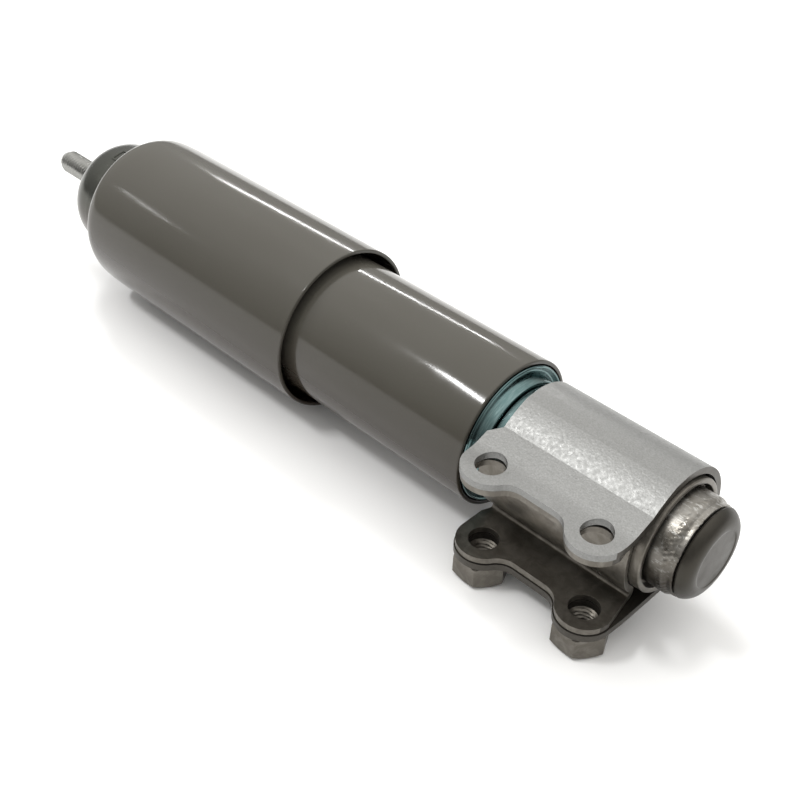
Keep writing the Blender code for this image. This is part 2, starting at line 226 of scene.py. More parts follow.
def flake_coat():
    """Light flake coat, with painted shade that darkens it towards the lower ear."""
    n = Nodes("zinc_flake_coat")
    peel = n.noise(0.9, 3.0)
    grain = n.cells(0.55)
    cloud = n.noise(16, 3.0)
    speck = n.noise(0.45, 3.0, 0.7)
    colour = n.mix(cloud, (0.180, 0.181, 0.175), (0.225, 0.226, 0.220))
    colour = n.mix(n.levels(speck, 0.35, 0.75, 0.0, 0.5), colour, (0.36, 0.36, 0.355))
    pits = n.levels(n.noise(0.8, 2.0, vector=n.stretched((1.0, 0.9, 1.1))), 0.32, 0.24)
    colour = n.mix(n.math("MULTIPLY", pits, 0.5), colour, (0.10, 0.095, 0.09))
    # Painted shade: below the ear the coat's colour goes over to dark metal by height.
    low = n.levels(n.math("ADD", n.height(), n.math("MULTIPLY", n.noise(5, 3.0), 0.006)), -0.008, -0.013)
    colour = n.mix(low, colour, n.mix(cloud, (0.050, 0.045, 0.038), (0.085, 0.078, 0.067)))
    rough = n.levels(peel, 0.3, 0.7, 0.34, 0.50)
    normal = n.bump(peel, 0.12, 0.7)
    normal = n.bump(grain, 0.06, 0.4, under=normal)
    return n.finish(colour, 0.75, rough, normal)


def dark_plate():
    n = Nodes("dark_gunmetal")
    cloud = n.noise(11, 4.0, 0.6)
    blotch = n.levels(n.noise(4.0, 5.0, 0.65, distortion=0.6), 0.42, 0.66)
    fine = n.noise(0.7, 3.0)
    colour = n.mix(cloud, (0.085, 0.077, 0.064), (0.165, 0.152, 0.132))
    colour = n.mix(n.math("MULTIPLY", blotch, 0.4), colour, (0.28, 0.262, 0.235))
    rough = n.levels(cloud, 0.25, 0.75, 0.26, 0.46)
    normal = n.bump(fine, 0.05, 0.45)
    return n.finish(colour, 0.85, rough, normal)


def blue_zinc():
    n = Nodes("blue_zinc")
    rings = n.noise(0.25, 2.0, vector=n.turned())
    cloud = n.noise(7, 3.0)
    colour = n.mix(cloud, (0.055, 0.105, 0.108), (0.15, 0.22, 0.22))
    colour = n.mix(n.math("MULTIPLY", n.levels(rings, 0.45, 0.7), 0.2), colour, (0.36, 0.43, 0.43))
    rough = n.levels(rings, 0.3, 0.7, 0.13, 0.24)
    normal = n.bump(rings, 0.01, 0.4)
    return n.finish(colour, 1.0, rough, normal)


def dome_zinc():
    n = Nodes("dome_zinc")
    rings = n.noise(0.35, 2.0, vector=n.turned())
    cloud = n.noise(9, 3.0)
    colour = n.mix(cloud, (0.052, 0.052, 0.045), (0.10, 0.103, 0.092))
    # Painted shade and reflection: the dome turns darker and browner below the axis.
    colour = n.mix(n.levels(n.height(), 0.008, -0.006), colour, (0.030, 0.020, 0.014))
    rough = n.levels(cloud, 0.3, 0.7, 0.16, 0.30)
    normal = n.bump(rings, 0.01, 0.35)
    return n.finish(colour, 1.0, rough, normal)


def scuffed_steel():
    n = Nodes("scuffed_steel")
    cloud = n.noise(5.5, 5.0, 0.62, distortion=0.5)
    grain = n.noise(0.6, 3.0)
    marks = n.noise(0.8, 4.0, 0.6, vector=n.stretched((0.35, 1.0, 1.0)), distortion=1.2)
    rings = n.noise(0.22, 2.0, vector=n.turned())
    colour = n.mix(n.levels(cloud, 0.3, 0.7), (0.15, 0.138, 0.118), (0.29, 0.28, 0.26))
    colour = n.mix(n.math("MULTIPLY", n.levels(marks, 0.56, 0.70), 0.7), colour, (0.62, 0.62, 0.60))
    # Painted shade: the tube turns dark below its axis.
    painted_shade_below = n.levels(n.math("ADD", n.height(), n.math("MULTIPLY", n.noise(4, 3.0), 0.008)), 0.011, 0.002, 0.0, 0.9)
    colour = n.mix(painted_shade_below, colour, (0.034, 0.028, 0.021))
    rough = n.levels(cloud, 0.3, 0.7, 0.24, 0.42)
    normal = n.bump(marks, 0.12, 0.4)
    normal = n.bump(n.math("ADD", grain, rings), 0.02, 0.4, under=normal)
    return n.finish(colour, 0.92, rough, normal)


def cap_steel():
    n = Nodes("cap_steel")
    cloud = n.noise(6, 4.0, 0.6)
    grain = n.noise(0.5, 3.0)
    rings = n.noise(0.3, 2.0, vector=n.turned())
    colour = n.mix(cloud, (0.034, 0.030, 0.025), (0.060, 0.056, 0.047))
    rough = n.levels(cloud, 0.3, 0.7, 0.30, 0.46)
    normal = n.bump(n.math("ADD", grain, rings), 0.025, 0.45)
    return n.finish(colour, 0.85, rough, normal)


def thread_steel():
    n = Nodes("thread_steel")
    cloud = n.noise(3.0, 4.0, 0.6)
    grain = n.noise(0.25, 2.0)
    colour = n.mix(cloud, (0.22, 0.22, 0.21), (0.40, 0.40, 0.385))
    rough = n.levels(cloud, 0.3, 0.7, 0.18, 0.32)
    return n.finish(colour, 1.0, rough, n.bump(grain, 0.01, 0.4))


def plain(name, dark, light, metallic, low, high, size=4.0, depth=0.02):
    """Finish for the pieces inside: two shades with matching roughness and a fine grain."""
    n = Nodes(name)
    cloud = n.noise(size, 4.0, 0.6)
    normal = n.bump(n.noise(size * 0.12, 3.0), depth, 0.5)
    return n.finish(n.mix(cloud, dark, light), metallic, n.levels(cloud, 0.3, 0.7, low, high), normal)


PAINT = gloss_paint()
FLAKE = flake_coat()
DARK = dark_plate()
ZINC = blue_zinc()
DOME = dome_zinc()
SCUFFED = scuffed_steel()
CAP = cap_steel()
THREAD = thread_steel()
# Painted shade for the bracket sheets' end faces that point towards +X, away from the lamps.
PAINTED_SHADE_END = plain("painted_shade_end_face", (0.035, 0.031, 0.025), (0.085, 0.077, 0.065), 0.8, 0.30, 0.46, 5.0)
INSIDE = {
    "steel": plain("washer_steel", (0.38, 0.38, 0.37), (0.52, 0.52, 0.51), 1.0, 0.25, 0.4),
    "hard_chrome": plain("rod_chrome", (0.56, 0.56, 0.56), (0.66, 0.66, 0.66), 1.0, 0.08, 0.16),
    "spring_steel": plain("coated_wire", (0.018, 0.018, 0.018), (0.04, 0.04, 0.04), 0.2, 0.35, 0.5),
    "sintered_alloy": plain("machined_alloy", (0.42, 0.42, 0.42), (0.58, 0.58, 0.57), 0.95, 0.3, 0.5),
    "bronze": plain("bush_bronze", (0.38, 0.25, 0.10), (0.52, 0.37, 0.17), 1.0, 0.3, 0.45),
    "black_rubber": plain("moulded_rubber", (0.012, 0.012, 0.012), (0.03, 0.03, 0.03), 0.0, 0.6, 0.8, 3.0, 0.05),
    "guide_plastic": plain("guide_plastic", (0.03, 0.03, 0.03), (0.06, 0.06, 0.06), 0.0, 0.4, 0.6),
    "bare_steel": SCUFFED,
}


# ---------------------------------------------------------------- mesh helpers

def new_object(name, bm, material, angle=32):
    bmesh.ops.recalc_face_normals(bm, faces=bm.faces)
    mesh = bpy.data.meshes.new(name)
    bm.to_mesh(mesh)
    bm.free()
    mesh.shade_smooth()
    mesh.set_sharp_from_angle(angle=math.radians(angle))
    item = bpy.data.objects.new(name, mesh)
    bpy.context.scene.collection.objects.link(item)
    item.data.materials.append(material)
    return item


def place(item, body, slot, *nodes):
    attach(item, body)
    if nodes:
        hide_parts(*nodes)
    return item


def rounded(points, radii, steps=4):
    """Closed 2-D outline with its corners rounded, one radius per corner."""
    count = len(points)
    out = []
    for i, (point, radius) in enumerate(zip(points, radii)):
        p, a, b = (Vector(q) for q in (point, points[i - 1], points[(i + 1) % count]))
        u, v = a - p, b - p
        if radius <= 0 or u.length < 1e-6 or v.length < 1e-6:
            out.append(tuple(p))
            continue
        angle = u.angle(v)
        if angle > math.radians(178):
            out.append(tuple(p))
            continue
        reach = min(radius / math.tan(angle / 2), 0.45 * u.length, 0.45 * v.length)
        real = reach * math.tan(angle / 2)
        u.normalize()
        v.normalize()
        centre = p + (u + v).normalized() * (real / math.sin(angle / 2))
        start, end = p + u * reach - centre, p + v * reach - centre
        sweep = start.angle_signed(end)
        for k in range(steps + 1):
            turn = -sweep * k / steps
            c, s = math.cos(turn), math.sin(turn)
            out.append((centre.x + start.x * c - start.y * s, centre.y + start.x * s + start.y * c))
    return out


def lathe(name, outline, material, sides=128, shift=None, angle=32):
    """Solid of revolution about X from a closed outline of (x, radius); shift(x, radius, angle)
    returns a change of radius."""
    bm = bmesh.new()
    loops = []
    for x, radius in outline:
        if radius <= 1e-6:
            loops.append([bm.verts.new((x * MM, 0, 0))])
            continue
        loop = []
        for i in range(sides):
            a = 2 * math.pi * i / sides
            r = radius + (shift(x, radius, a) if shift else 0.0)
            loop.append(bm.verts.new((x * MM, r * math.cos(a) * MM, r * math.sin(a) * MM)))
        loops.append(loop)
    for loop, following in zip(loops, loops[1:] + loops[:1]):
        if len(loop) == 1 and len(following) == 1:
            continue
        for i in range(sides):
            j = (i + 1) % sides
            corners = [loop[i % len(loop)], loop[j % len(loop)],
                       following[j % len(following)], following[i % len(following)]]
            bm.faces.new(list(dict.fromkeys(corners)))
    return new_object(name, bm, material, angle)


def prism(name, outline, low, high, axis, material, angle=32):
    """Closed outline swept along X (outline in YZ) or Z (outline in XY)."""
    bm = bmesh.new()
    layers = []
    for level in (low, high):
        if axis == "X":
            layers.append([bm.verts.new((level * MM, u * MM, v * MM)) for u, v in outline])
        else:
            layers.append([bm.verts.new((u * MM, v * MM, level * MM)) for u, v in outline])
    count = len(outline)
    for i in range(count):
        j = (i + 1) % count
        bm.faces.new([layers[0][i], layers[0][j], layers[1][j], layers[1][i]])
    bm.faces.new(layers[0])
    bm.faces.new(layers[1][::-1])
    return new_object(name, bm, material, angle)


def arc(cy, cz, radius, start, end, steps):
    """Points on an arc with the unit vector from its centre; degrees from the first axis."""
    points = []
    for i in range(steps + 1):
        a = math.radians(start + (end - start) * i / steps)
        u = (math.cos(a), math.sin(a))
        points.append(((cy + radius * u[0], cz + radius * u[1]), u))
    return points


def circle(x, y, radius, sides=64):
    return [p for p, _ in arc(x, y, radius, 0, 360, sides)][:-1]


def sheet(points):
    face = [p for p, _ in points]
    other = [(p[0] + o[0], p[1] + o[1]) for p, o in points]
    return face + other[::-1]


def carve(target, cutters, bevel):
    """Cuts the cutters out of target, rounds the sharp edges and keeps flat faces flat."""
    for cutter in cutters:
        boolean = target.modifiers.new("cut", "BOOLEAN")
        boolean.operation = "DIFFERENCE"
        boolean.solver = "EXACT"
        boolean.object = cutter
    bake(target)
    for cutter in cutters:
        bpy.data.objects.remove(cutter, do_unlink=True)
    bm = bmesh.new()
    bm.from_mesh(target.data)
    bmesh.ops.remove_doubles(bm, verts=bm.verts, dist=2e-6)
    bmesh.ops.dissolve_limit(bm, angle_limit=math.radians(0.5), verts=bm.verts, edges=bm.edges)
    bm.to_mesh(target.data)
    bm.free()
    edge = target.modifiers.new("edge", "BEVEL")
    edge.width = bevel * MM
    edge.segments = 3
    edge.limit_method = "ANGLE"
    edge.angle_limit = math.radians(38)
    edge.miter_outer = "MITER_ARC"
    edge.use_clamp_overlap = True
    weight = target.modifiers.new("flat", "WEIGHTED_NORMAL")
    weight.keep_sharp = True
    bake(target)


def bake(item):
    """Applies the item's modifiers to its mesh."""
    bpy.context.view_layer.update()
    evaluated = item.evaluated_get(bpy.context.evaluated_depsgraph_get())
    mesh = bpy.data.meshes.new_from_object(evaluated)
    item.modifiers.clear()
    item.data = mesh


# ---------------------------------------------------------------- strut

def thread(x, angle):
    """How far an M8 thread's flank lies below its crest at this place."""
    turn = (x / THREAD_PITCH - angle / (2 * math.pi)) % 1.0
    rise = abs(2 * turn - 1)
    return -THREAD_DEPTH * min(1.0, max(0.0, (rise - 0.12) / 0.76))


def build_stud():
    end = DOME_X0 + 4.2
    step, step_r = ROD_X1 - 16, 3.5
    start, stop = STUD_X0 + 0.9, DOME_X0 - 1.2
    rows = int((stop - start) / 0.14)
    outline = [(STUD_X0, 0), (STUD_X0, 2.6), (STUD_X0 + 0.15, 3.0)]
    outline += [(start + (stop - start) * i / rows, STUD_R) for i in range(rows + 1)]
    outline += [(stop + 0.4, STUD_R - 0.1), (end, STUD_R - 0.1), (end, ROD_R), (step, ROD_R),
                (step, step_r), (ROD_X1, step_r), (ROD_X1, 0)]

    def shift(x, radius, angle):
        if radius != STUD_R:
            return 0.0
        fade = min(1.0, (stop - x) / 1.2)
        lead = min(0.0, -(0.9 - (x - start)) * 0.9)
        return min(lead, thread(x, angle) * max(0.0, fade))
    item = lathe("threaded_rod", outline, THREAD, 96, shift, 40)
    return place(item, ROD, "hard_chrome", "piston_rod")


def build_dome():
    wall, bore = 1.6, 4.3
    outer = [(0, bore), (0, 7.0), (0.6, 10.0), (2.2, 13.6), (5.0, 16.5), (9.0, 18.3), (14.5, 19.1)]
    inner = [(14.5, 17.5), (9.8, 16.7), (6.2, 15.2), (3.6, 12.6), (2.1, 9.4), (wall, 6.7), (wall, bore)]
    smooth = spline([(DOME_X0 + x, r) for x, r in outer[1:]], 6)
    last = DOME_X1 - wall
    outline = [(DOME_X0, bore)] + smooth + [(last - 1.5, 19.3), (last, FLANGE_R), (DOME_X1, FLANGE_R),
                                           (DOME_X1, 18.4), (last - 0.3, 17.7)]
    outline += spline([(DOME_X0 + x, r) for x, r in inner], 4)
    item = lathe("top_dome_shell", outline, DOME, 144)
    return place(item, ROD, "bright_zinc", "top_dome")


def spline(points, steps):
    """Smooth open curve through (x, radius) points."""
    out = []
    ends = [points[0]] + points + [points[-1]]
    for p0, p1, p2, p3 in zip(ends, ends[1:], ends[2:], ends[3:]):
        for k in range(steps):
            t = k / steps
            out.append(tuple(
                0.5 * (2 * b + (c - a) * t + (2 * a - 5 * b + 4 * c - d) * t * t
                       + (3 * b - a - 3 * c + d) * t ** 3)
                for a, b, c, d in zip(p0, p1, p2, p3)))
    out.append(points[-1])
    return out


def build_tab():
    """Small rectangular frame pressed up out of the dome beside the cover's edge."""
    bm = bmesh.new()
    x0, x1 = COVER_X0 - 7.6, COVER_X0 - 4.7
    a0, a1 = math.radians(93), math.radians(109)
    bar, turn = 0.55, math.radians(1.7)
    sunk, side, top, edge = -0.4, 0.22, 0.34, 0.12

    def point(x, up, a):
        t = min(1.0, max(0.0, (COVER_X0 - 0.3 - x) / 12))
        radius = 19.22 - 0.7 * t * t + up
        return (x * MM, radius * math.cos(a) * MM, radius * math.sin(a) * MM)
    for xa, xb, aa, ab in ((x0, x0 + bar, a0, a1), (x1 - bar, x1, a0, a1), (x0 + bar, x1 - bar, a0, a0 + turn),
                           (x0 + bar, x1 - bar, a1 - turn, a1)):
        section = ((xa, sunk), (xa, side), (xa + edge, top), (xb - edge, top), (xb, side), (xb, sunk))
        steps = max(1, round((ab - aa) / math.radians(1)))
        rows = []
        for i in range(steps + 1):
            a = aa + (ab - aa) * i / steps
            rows.append([bm.verts.new(point(x, up, a)) for x, up in section])
        for row, following in zip(rows, rows[1:]):
            for k in range(6):
                m = (k + 1) % 6
                bm.faces.new([row[k], row[m], following[m], following[k]])
        bm.faces.new(rows[0])
        bm.faces.new(rows[-1][::-1])
    item = new_object("dome_tab", bm, DOME)
    return place(item, ROD, "bright_zinc")


def build_cover():
    straight = COVER_X0 + 13.7
    back = spline([(COVER_X0, 19.7), (COVER_X0 + 0.2, 22.6), (COVER_X0 + 1.3, 24.4),
                   (COVER_X0 + 3.7, 25.4), (COVER_X0 + 7.2, 25.8), (straight, COVER_R)], 8)
    lip = 0.45
    rim = [(COVER_X1 - lip * (1 - math.sin(a)), COVER_R - lip * (1 - math.cos(a)))
           for a in (math.radians(d) for d in range(0, 91, 15))]
    inner = COVER_R - WALL
    rim += [(COVER_X1, inner + 0.25), (COVER_X1 - 0.25, inner)]
    inside = [(straight, inner), (COVER_X0 + 7.0, 24.6), (COVER_X0 + 4.2, 24.2), (COVER_X0 + 2.4, 23.2),
              (COVER_X0 + 1.5, 21.6), (COVER_X0 + 1.4, 19.7)]
    item = lathe("outer_cover_tube", back + rim + inside, PAINT, 192)
    return place(item, ROD, "taupe_paint", "outer_cover")


def build_sleeve():
    inner = SLEEVE_R - WALL
    outline = rounded([(SLEEVE_X0, inner), (SLEEVE_X0, SLEEVE_R), (SLEEVE_X1, SLEEVE_R), (SLEEVE_X1, inner)],
                      [0.2, 0.4, 0.5, 0.3], 5)
    item = lathe("lower_sleeve_tube", outline, PAINT, 192)
    return place(item, STRUT, "taupe_paint", "lower_sleeve")


def build_seat():
    """Zinc seat closing the sleeve: rolled lip, concave wall and a raised boss."""
    bore = TUBE_R + GAP + 0.1
    x = SLEEVE_X1
    wall = spline([(x + 0.15, 20.1), (x - 0.5, 19.75), (x - 0.9, 19.35), (x - 0.9, 18.9), (x - 0.3, 18.45),
                   (x + 0.9, 18.1), (x + 2.6, 17.75)], 6)
    boss = rounded([(x + 2.6, 17.75), (SEAT_X1, 17.6), (SEAT_X1, bore + 0.6)], [0, 0.3, 0], 5)[1:-1]
    outline = [(SEAT_X0, bore), (SEAT_X0, SEAT_R)]
    outline += [(x + 0.05, SEAT_R), (x + 0.3, SEAT_R - 0.2), (x + 0.3, SEAT_R - 0.5)]
    outline += wall + boss + [(SEAT_X1, bore + 0.5), (SEAT_X1 - 0.4, bore)]
    item = lathe("lower_seat_cup", outline, ZINC, 160)
    return place(item, STRUT, "bright_zinc", "lower_spring_seat")


def build_collar():
    bore = TUBE_R + GAP
    outline = rounded([(COLLAR_X0, bore), (COLLAR_X0, COLLAR_R), (COLLAR_X1, COLLAR_R), (COLLAR_X1, 15.1),
                       (COLLAR_X1 - 2.8, 15.1), (COLLAR_X1 - 2.8, bore)], [0.2, 0.3, 0.45, 0.35, 0.2, 0.2], 4)
    item = lathe("mount_collar_ring", outline, DARK, 128)
    bm = bmesh.new()
    bm.from_mesh(item.data)
    plated = (COLLAR_X0 + 5.0) * MM
    bmesh.ops.bisect_plane(bm, geom=bm.verts[:] + bm.edges[:] + bm.faces[:], plane_co=(plated, 0, 0),
                           plane_no=(1, 0, 0))
    for face in bm.faces:
        if face.calc_center_median().x < plated:
            face.material_index = 1
    bm.to_mesh(item.data)
    bm.free()
    item.data.materials.append(ZINC)
    return place(item, STRUT, "bare_steel", "mount_collar")


def build_tube():
    """Damper tube; its end is pressed in over the cap, with an uneven stamped band."""
    inner = TUBE_R - WALL
    press = TUBE_END_R
    neck = TUBE_X1 - 1.6
    outline = [(TUBE_X0, inner), (TUBE_X0, TUBE_R), (neck - 3.4, TUBE_R)]
    outline += [(neck - 3.4 + 0.22 * i, TUBE_R) for i in range(1, 10)]
    outline += spline([(neck - 1.2, TUBE_R), (neck - 0.6, TUBE_R - 0.25), (neck, press - 0.05)], 4)
    outline += [(neck + 0.5, press - 0.1), (TUBE_X1 - 0.5, press), (TUBE_X1 - 0.15, press - 0.05),
                (TUBE_X1, press - 0.3)]
    outline += [(TUBE_X1, press - 1.2), (neck, press - 1.2), (neck - 1.2, inner)]

    def shift(x, radius, angle):
        if x < neck - 3.3 or radius < press - 0.2:
            return 0.0
        wave = (math.sin(31 * angle + 2.1 * math.sin(5 * angle)) * math.sin(17 * angle + 3.3 * x)
                + 0.6 * math.sin(53 * angle + 1.7 * x))
        return -0.09 * max(0.0, wave) * min(1.0, (x - neck + 3.3) / 1.2)
    item = lathe("damper_tube", outline, SCUFFED, 320, shift, 40)
    return place(item, STRUT, "bare_steel", "reservoir_tube")


def build_cap():
    """Cap with a wide rounded edge and a very shallow disc pressed into its middle."""
    bend = 4.5
    x0, x1, r = CAP_X0, CAP_X1, TUBE_END_R
    outer = [(x0, 11.4), (x0, r - 0.75), (x0 + 0.12, r - 0.45)]
    outer += [(x1 - bend * (1 - math.sin(a)), r - bend * (1 - math.cos(a)))
              for a in (math.radians(d) for d in range(18, 86, 6))]
    outer += spline([(x1, r - bend + 0.1), (x1 - 0.04, r - bend - 0.35), (x1 - 0.2, r - bend - 0.7),
                     (x1 - 0.22, r - bend - 1.6)], 4)
    outer += [(x1 - 0.1, 3.0), (x1 - 0.08, 0), (x1 - 1.6, 0), (x1 - 1.6, 8.8)]
    item = lathe("rounded_end_cap", outer, CAP, 144)
    return place(item, STRUT, "bare_steel", "end_cap")


def build_spring():
    wire = 2.1
    mean = SPRING_OUT - wire
    turns, closed, steps, sides = 9, 0.75, 40, 12
    start, end = SPRING_X0 + wire, SPRING_X1 - wire
    pitch = 2 * wire + 0.5
    body = end - start - 2 * closed * pitch
    bm = bmesh.new()
    loops = []
    for i in range(turns * steps + 1):
        turn = i / steps
        if turn < closed:
            x = start + turn * pitch
        elif turn > turns - closed:
            x = end - (turns - turn) * pitch
        else:
            x = start + closed * pitch + (turn - closed) * body / (turns - 2 * closed)
        a = 2 * math.pi * turn
        loops.append([bm.verts.new(((x + wire * math.sin(b)) * MM,
                                    (mean + wire * math.cos(b)) * math.cos(a) * MM,
                                    (mean + wire * math.cos(b)) * math.sin(a) * MM))
                      for b in (2 * math.pi * k / sides for k in range(sides))])
    for loop, following in zip(loops, loops[1:]):
        for k in range(sides):
            m = (k + 1) % sides
            bm.faces.new([loop[k], loop[m], following[m], following[k]])
    bm.faces.new(loops[0][::-1])
    bm.faces.new(loops[-1])
    item = new_object("spring_coil", bm, INSIDE["spring_steel"])
    place(item, STRUT, "spring_steel", "coil_spring")
    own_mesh(item)
    return item


# ---------------------------------------------------------------- clamp bracket

def strap_section():
    """Upper ear, gentle rise, crease, bowed slope, crease, wrap round the back, lower ear."""
    reach = STRAP_LOW[1] - 3
    foot, crest = (-12.8, EAR_TOP + 3.3), (-4.4, 19.0)
    chord = (crest[0] - foot[0], crest[1] - foot[1])
    line = [(reach, EAR_TOP), (-21.4, EAR_TOP), foot]
    rise_at, foot_at = 1, 2
    for i in range(1, 12):
        t = i / 12
        bow = 0.14 * t * (1 - t)
        line.append((foot[0] + chord[0] * t - chord[1] * bow, foot[1] + chord[1] * t + chord[0] * bow))
    crest_at = len(line)
    line.append(crest)
    line += [p for p, _ in arc(0, 0, STRAP_HIGH[2], 90, -90, 60)]
    line.append((reach, STRAP_LOW[2]))
    legs = [(b[0] - a[0], b[1] - a[1]) for a, b in zip(line, line[1:])]
    inward = [(v / math.hypot(u, v), -u / math.hypot(u, v)) for u, v in legs]
    inner = []
    for i, point in enumerate(line):
        a, b = inward[max(0, i - 1)], inward[min(i, len(inward) - 1)]
        deep = STRAP_T / (1 + a[0] * b[0] + a[1] * b[1])
        inner.append((point[0] + (a[0] + b[0]) * deep, point[1] + (a[1] + b[1]) * deep))
    outside = soften(line, {rise_at: 12.0, foot_at: 0.7, crest_at: 0.9})
    inside = soften(inner, {rise_at: 12.0, foot_at: 1.5, crest_at: 0.5})
    return outside + inside[::-1]


def soften(points, bends):
    """Open line with the corners named in bends rounded to those radii."""
    out = []
    for i, point in enumerate(points):
        if i in bends:
            out += rounded([points[i - 1], point, points[i + 1]], [0, bends[i], 0], 8)[1:-1]
        else:
            out.append(point)
    return out


def channel_section():
    """Upper flange, web round the collar and lower flange."""
    face_r = COLLAR_R + GAP + CHANNEL_T
    top_face = EAR_TOP - STRAP_T - GAP - CHANNEL_T
    low_face = STRAP_LOW[2] + STRAP_T + GAP + CHANNEL_T
    reach = CHANNEL_LOW[1] - 3
    upper_bend, lower_bend = 1.5, 1.0
    upper_z, lower_z = top_face - upper_bend, low_face + lower_bend
    upper_y = -math.sqrt((face_r + upper_bend) ** 2 - upper_z ** 2)
    lower_y = -math.sqrt((face_r + lower_bend) ** 2 - lower_z ** 2)
    to_upper = math.degrees(math.atan2(upper_z, -upper_y))
    to_lower = math.degrees(math.atan2(lower_z, -lower_y))
    t = CHANNEL_T
    points = [((reach, top_face), (0.0, t))]
    points += [(p, (u[0] * t, u[1] * t)) for p, u in arc(upper_y, upper_z, upper_bend, 90, -to_upper, 12)]
    points += [(p, (-u[0] * t, -u[1] * t))
               for p, u in arc(0, 0, face_r, 180 - to_upper, 180 - to_lower, 36)[1:-1]]
    points += [(p, (u[0] * t, u[1] * t)) for p, u in arc(lower_y, lower_z, lower_bend, -to_lower, -90, 12)]
    points.append(((reach, low_face), (0.0, -t)))
    return sheet(points)


def ear_trim(inset, left_rise, right_rise):
    """Cutter round the outline of the ears: two lobes joined by a waist."""
    (x1, hole_y, _, _), (x2, _, _, _) = NUTS
    left, right = x1 - LOBE_R + inset, x2 + LOBE_R - inset
    lobe, fillet = LOBE_R - inset, WAIST_FILLET + inset
    fillet_y = hole_y - WAIST_DROP + inset - fillet
    rise = hole_y - fillet_y
    run = math.sqrt((lobe + fillet) ** 2 - rise ** 2)
    lean = math.degrees(math.atan2(rise, run))
    outline = [(left + left_rise[0], left_rise[1]), (left, left_rise[1] - 3), (left, hole_y)]
    for points in (arc(x1, hole_y, lobe, 180, 360 - lean, 28)[1:],
                   arc(x1 + run, fillet_y, fillet, 180 - lean, 90, 14)[1:],
                   arc(x2 - run, fillet_y, fillet, 90, lean, 14),
                   arc(x2, hole_y, lobe, 180 + lean, 360, 28)[1:]):
        outline += [p for p, _ in points]
    far = right + right_rise[0]
    outline += [(far, right_rise[1]), (far, 40), (right + 30, 40), (right + 30, -60), (left - 30, -60),
                (left - 30, 40), (left + left_rise[0], 40)]
    return prism("trim", outline, -40, 40, "Z", FLAKE)


def darken_end(item, end):
    """Painted shade: the end face turned towards +X gets a darker finish than the coated faces."""
    item.data.materials.append(PAINTED_SHADE_END)
    for face in item.data.polygons:
        if face.normal.x > 0.6 and face.center.x > (end - 0.6) * MM:
            face.material_index = 1


def build_strap():
    item = prism("bracket_strap", strap_section(), STRAP_LOW[0], STRAP_HIGH[0], "X", FLAKE)
    cutters = [ear_trim(0.0, (2.9, -13.2), (0.5, -15))]
    cutters += [prism("hole", circle(x, y, HOLE_R), -40, 40, "Z", FLAKE) for x, y, _, _ in NUTS]
    carve(item, cutters, 0.38)
    darken_end(item, STRAP_HIGH[0])
    return place(item, STRUT, "light_zinc_flake", "clamp_strap")


def build_channel():
    item = prism("bracket_channel", channel_section(), CHANNEL_LOW[0], CHANNEL_HIGH[0], "X", DARK)
    cutters = [ear_trim(0.3, (1.1, -13), (-2.1, -13))]
    cutters += [prism("hole", circle(x, y, HOLE_R), -40, 40, "Z", DARK) for x, y, _, _ in NUTS]
    carve(item, cutters, 0.3)
    darken_end(item, CHANNEL_HIGH[0])
    return place(item, STRUT, "dark_steel", "inner_channel")


def build_nut(index):
    """Weld nut: chamfered hexagon with a cut thread."""
    x, y, z0, z1 = NUTS[index]
    flat, bore = NUT_FLATS / 2, 4.35
    turn = math.radians(-5)
    sides = 96
    bm = bmesh.new()

    def hexagon(a):
        part = (a - turn) % (math.pi / 3) - math.pi / 6
        return flat / math.cos(part)
    rows = int((z1 - z0) / 0.16)
    loops = []
    for kind in range(6):
        loop = []
        for i in range(sides):
            a = turn + 2 * math.pi * i / sides
            h = hexagon(a)
            drop = max(0.0, h - flat * 0.985) * math.tan(math.radians(32))
            point = {0: (bore, z1), 1: (flat * 0.96, z1), 2: (h - 0.12, z1 - drop - 0.05),
                     3: (h, z1 - drop - 0.3), 4: (h, z0 + drop + 0.3), 5: (flat * 0.96, z0)}[kind]
            loop.append((point[0], point[1], a))
        loops.append(loop)
    loops.append([(bore, z0, turn + 2 * math.pi * i / sides) for i in range(sides)])
    for k in range(rows + 1):
        z = z0 + 0.35 + (z1 - z0 - 0.7) * k / rows
        loops.append([(4.02 + thread(z, turn + 2 * math.pi * i / sides), z,
                       turn + 2 * math.pi * i / sides) for i in range(sides)])
    rings = [[bm.verts.new(((x + r * math.cos(a)) * MM, (y + r * math.sin(a)) * MM, z * MM)) for r, z, a in loop]
             for loop in loops]
    for ring, following in zip(rings, rings[1:] + rings[:1]):
        for i in range(sides):
            j = (i + 1) % sides
            bm.faces.new([ring[i], ring[j], following[j], following[i]])
    item = new_object("hex_weld_nut_%d" % (index + 1), bm, DARK, 30)
    return place(item, STRUT, "dark_steel", "weld_nut_%d" % (index + 1))


build_stud()
build_dome()
build_tab()
build_cover()
build_sleeve()
build_seat()
build_collar()
build_tube()
build_cap()
build_spring()
build_strap()
build_channel()
build_nut(0)
build_nut(1)

for part in frame["record"]["subparts"]:
    node = frame["nodes"].get(part["node"])
    finish = INSIDE.get(part["material_slot"])
    if node and finish:
        node.data.materials.clear()
        node.data.materials.append(finish)


# ---------------------------------------------------------------- floor, light and camera

def build_floor():
    n = Nodes("pale_floor")
    n.finish(n.mix(n.noise(60, 2.0), (0.90, 0.90, 0.90), (0.92, 0.92, 0.92)), 0.0, 0.7, specular=0.2)
    bm = bmesh.new()
    level = cad_box[0][2] - 0.0002
    corners = [(-4, -4), (4, -4), (4, 4), (-4, 4)]
    bm.faces.new([bm.verts.new((x, y, level)) for x, y in corners])
    item = new_object("floor", bm, n.mat)


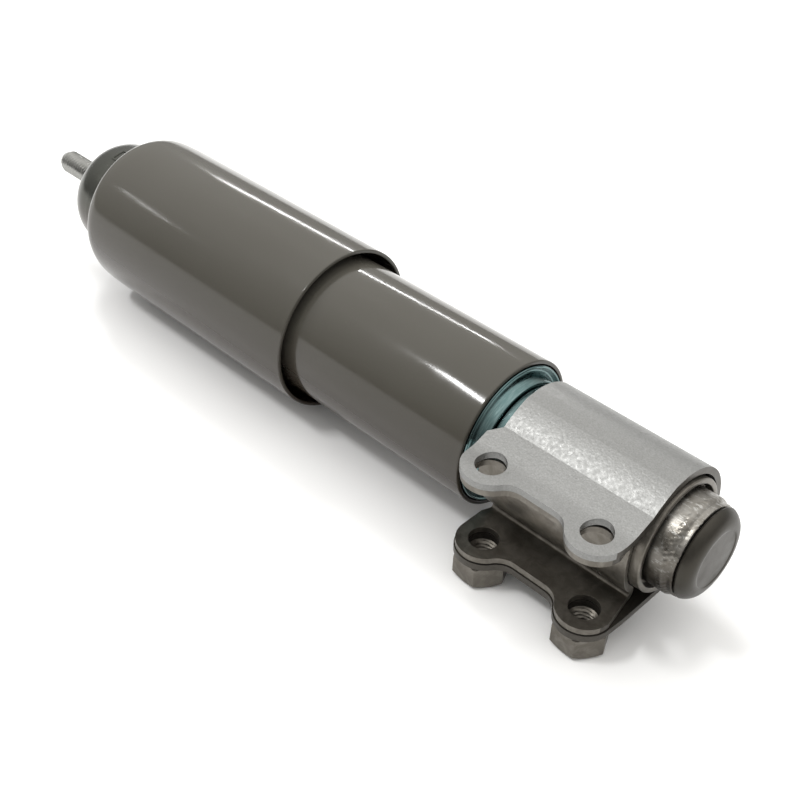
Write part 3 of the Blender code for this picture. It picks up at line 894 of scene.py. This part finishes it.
def add_light(name, place_at, target, size, power):
    """Rectangular lamp facing target; places and sizes in metres, power in watts."""
    data = bpy.data.lights.new(name, "AREA")
    data.shape = "RECTANGLE"
    data.size, data.size_y = size
    data.energy = power
    item = bpy.data.objects.new(name, data)
    bpy.context.scene.collection.objects.link(item)
    item.location = place_at
    item.rotation_euler = (Vector(target) - Vector(place_at)).to_track_quat("-Z", "Y").to_euler()
    return item


def build_camera():
    azimuth, elevation, roll = (math.radians(v) for v in (43.31, 38.71, 1.99))
    from_sleeve_end = Vector((164.45, -219.79, 229.06))
    right = Vector((math.cos(azimuth), math.sin(azimuth), 0))
    back = Vector((math.sin(azimuth) * math.cos(elevation), -math.cos(azimuth) * math.cos(elevation),
                   math.sin(elevation)))
    up = back.cross(right)
    x_axis = math.cos(roll) * right + math.sin(roll) * up
    y_axis = -math.sin(roll) * right + math.cos(roll) * up
    data = bpy.data.cameras.new("camera")
    data.sensor_width = 36
    data.lens = 58.37
    item = bpy.data.objects.new("camera", data)
    bpy.context.scene.collection.objects.link(item)
    place_at = Matrix.Translation((Vector((SLEEVE_X1, 0, 0)) + from_sleeve_end) * MM)
    item.matrix_world = place_at @ Matrix((x_axis, y_axis, back)).transposed().to_4x4()
    bpy.context.scene.camera = item


def build_world():
    """Soft studio surround: bright overhead, dimmer towards the horizon and the front."""
    world = bpy.data.worlds.new("studio")
    bpy.context.scene.world = world
    world.use_nodes = True
    tree = world.node_tree
    background = tree.nodes["Background"]

    def math_node(operation, a, b=0.0):
        node = tree.nodes.new("ShaderNodeMath")
        node.operation = operation
        for socket, value in zip(node.inputs, (a, b)):
            if isinstance(value, bpy.types.NodeSocket):
                tree.links.new(value, socket)
            else:
                socket.default_value = value
        return node.outputs[0]
    split = tree.nodes.new("ShaderNodeSeparateXYZ")
    tree.links.new(tree.nodes.new("ShaderNodeTexCoord").outputs["Generated"], split.inputs[0])
    x, y, z = split.outputs
    up = math_node("MAXIMUM", z, 0.0)
    level = math_node("ADD", 0.38, math_node("MULTIPLY", up, 1.45))
    front = math_node("MAXIMUM", math_node("ADD", math_node("MULTIPLY", x, 0.35), math_node("MULTIPLY", y, -0.80)), 0.0)
    level = math_node("MULTIPLY", level, math_node("SUBTRACT", 1.0, math_node("MULTIPLY", front, 0.75)))
    background.inputs["Color"].default_value = (1.0, 0.99, 0.965, 1.0)
    tree.links.new(level, background.inputs["Strength"])


build_floor()
build_world()
add_light("far_strip", (-1.03, 1.50, 0.80), (0.16, 0, 0), (0.75, 0.035), 4.5)
add_light("near_strip", (-0.24, -0.505, 1.03), (0.22, 0, 0), (0.24, 0.06), 4.6)
shadow = add_light("soft_box", (-1.1, 0.7, 1.5), (0.15, 0, 0), (0.5, 0.5), 18)
shadow.visible_glossy = False
add_light("small_strip", (-1.00, -0.70, 0.78), (0.07, 0, 0), (0.17, 0.02), 0.25)
build_camera()
bpy.context.scene.view_settings.view_transform = "Standard"

bpy.context.view_layer.update()
